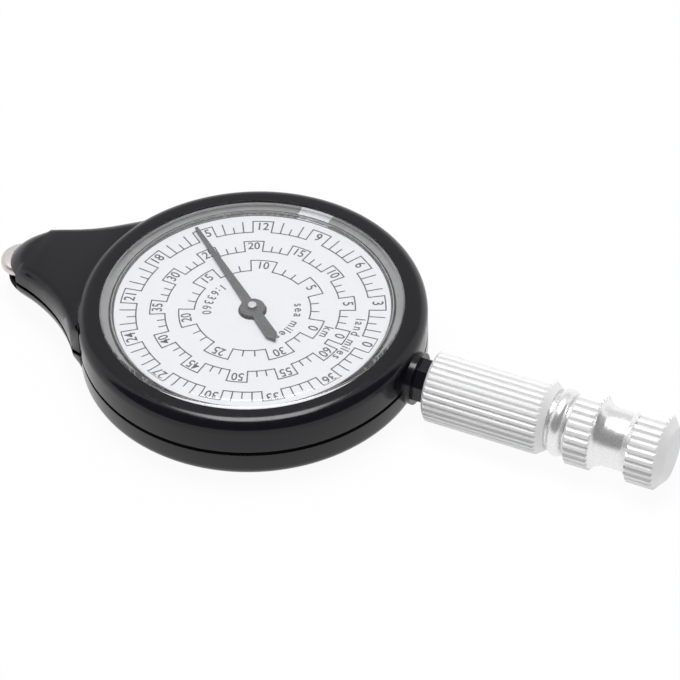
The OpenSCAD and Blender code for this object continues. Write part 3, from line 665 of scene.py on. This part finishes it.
def stamp(bm, text, radius, angle, height, inward=False):
    """Prints text at a radius, its top outwards or inwards."""
    mesh = glyph(text).copy()
    x, y = radius * MM * math.cos(angle), radius * MM * math.sin(angle)
    turn = angle + (math.pi / 2 if inward else -math.pi / 2)
    scale = height / CAP_H * MM
    mesh.transform(
        Matrix.Translation((x, y, INK_Z * MM))
        @ Matrix.Rotation(turn, 4, "Z")
        @ Matrix.Diagonal((scale * NARROW, scale, 1, 1))
    )
    bm.from_mesh(mesh)
    bpy.data.meshes.remove(mesh)


def lettering(bm, text, radius, middle, height, inward):
    """Prints a word along an arc, letter by letter."""
    scale = height / CAP_H * SPACING
    widths = [WIDTHS.get(letter, COMMON_WIDTH) * scale for letter in text]
    along = -sum(widths) / 2
    way = 1 if inward else -1
    for letter, width in zip(text, widths):
        angle = math.radians(middle) + way * (along + width / 2) / radius
        if letter != " ":
            stamp(bm, letter, radius, angle, height, inward)
        along += width


lines = bmesh.new()
for scale in SCALES:
    print_scale(lines, **scale)
piece("scale_lines", lines, "case", "dial_white", ink)

numbers = bmesh.new()
for scale in SCALES:
    for number in range(0, scale["last"] + 1, scale["step"]):
        middle = (scale["inner"] + scale["outer"]) / 2
        stamp(numbers, str(number), middle, TAU * number / scale["turn"], scale["digit"])
piece("scale_numbers", numbers, "case", "dial_white", ink)

words = bmesh.new()
for word in WORDS:
    lettering(words, *word)
piece("scale_words", words, "case", "dial_white", ink)


# ---- floor, light and background ----

CAMERA_SIDE = Vector((EYE.x, EYE.y, 0)).normalized()
# Share of the floor's look that is plain white; the rest shows the shadow
FLOOR_GLOW = 0.94
# Strength of the background as a light, and as it is seen
SKY_LIGHT = 0.3
SKY_SEEN = 1.0


def seen_by_eye(tree):
    """One for a camera ray, and for a ray that metal or glass sends on."""
    path = tree.nodes.new("ShaderNodeLightPath")
    total = path.outputs["Is Camera Ray"]
    for kind in ("Is Glossy Ray", "Is Transmission Ray"):
        more = tree.nodes.new("ShaderNodeMath")
        more.operation = "MAXIMUM"
        tree.links.new(total, more.inputs[0])
        tree.links.new(path.outputs[kind], more.inputs[1])
        total = more.outputs[0]
    return total


def stage_floor():
    """A wide white floor, just under the object, that keeps a soft shadow."""
    bm = bmesh.new()
    bmesh.ops.create_circle(bm, cap_ends=True, segments=64, radius=4)
    mesh = bpy.data.meshes.new("floor")
    bm.to_mesh(mesh)
    bm.free()
    floor = bpy.data.objects.new("floor", mesh)
    floor.location.z = -0.02 * MM
    bpy.context.scene.collection.objects.link(floor)
    finish = Finish("floor", Roughness=1.0, IOR=1.0)
    finish.paint(finish.noise(300, 1), (0.94, 0.94, 0.942), (0.955, 0.955, 0.957))
    glow = finish.add("ShaderNodeEmission", {"Color": (1, 1, 1, 1), "Strength": 1.0})
    share = finish.calc("MULTIPLY", seen_by_eye(finish.tree), FLOOR_GLOW)
    both = finish.add("ShaderNodeMixShader", {0: share, 2: glow.outputs[0]})
    finish.tree.links.new(finish.shader.outputs[0], both.inputs[1])
    finish.tree.links.new(both.outputs[0], finish.tree.nodes["Material Output"].inputs["Surface"])
    mesh.materials.append(finish.material)


def card(name, side, near, far, spread, grey):
    """A curved card of the studio that only shows in reflections, from a near to a far
    (distance, height), spread by so many degrees to either hand of a direction."""
    start = math.atan2(side.y, side.x) - math.radians(spread)
    bm = bmesh.new()
    ends = [bm.verts.new((distance, 0, height)) for distance, height in (near, far)]
    edge = bm.edges.new(ends)
    bmesh.ops.rotate(bm, verts=ends, matrix=Matrix.Rotation(start, 3, "Z"))
    bmesh.ops.spin(bm, geom=ends + [edge], axis=(0, 0, 1), angle=math.radians(2 * spread), steps=24)
    mesh = bpy.data.meshes.new(name)
    bm.to_mesh(mesh)
    bm.free()
    flag = bpy.data.objects.new(name, mesh)
    bpy.context.scene.collection.objects.link(flag)
    for kind in ("camera", "diffuse", "transmission", "shadow", "volume_scatter"):
        setattr(flag, "visible_" + kind, False)
    finish = Finish(
        name,
        Base_Color=(0, 0, 0, 1),
        Roughness=1.0,
        IOR=1.0,
        Emission_Color=(grey, grey, grey, 1),
        Emission_Strength=1.0,
    )
    mesh.materials.append(finish.material)


def background():
    """A white background that lights the object less than it shows."""
    world = bpy.data.worlds.new("studio")
    world.use_nodes = True
    tree = world.node_tree
    shade = tree.nodes["Background"]
    strength = tree.nodes.new("ShaderNodeMapRange")
    strength.inputs["To Min"].default_value = SKY_LIGHT
    strength.inputs["To Max"].default_value = SKY_SEEN
    tree.links.new(seen_by_eye(tree), strength.inputs["Value"])
    tree.links.new(strength.outputs["Result"], shade.inputs["Strength"])
    shade.inputs["Color"].default_value = (1, 1, 1, 1)
    bpy.context.scene.world = world


def soft_light(name, place, size, watts):
    """An area lamp that faces the middle of the object."""
    lamp = bpy.data.objects.new(name, bpy.data.lights.new(name, "AREA"))
    lamp.data.shape = "RECTANGLE"
    lamp.data.size, lamp.data.size_y = size
    lamp.data.energy = watts
    lamp.location = place
    aim = Vector((0.01, 0, 0)) - Vector(place)
    lamp.rotation_euler = aim.to_track_quat("-Z", "Y").to_euler()
    bpy.context.scene.collection.objects.link(lamp)


stage_floor()
background()
soft_light("overhead", (-0.03, 0.06, 0.62), (0.32, 0.32), 3.0)
card("front_card", CAMERA_SIDE, (1.0, 0.1), (0.19, 0.8), 95, 0.1)
card("back_card", -CAMERA_SIDE, (1.6, 0.5), (0.9, 2.2), 60, 0.6)

bpy.context.scene.view_settings.view_transform = "Standard"
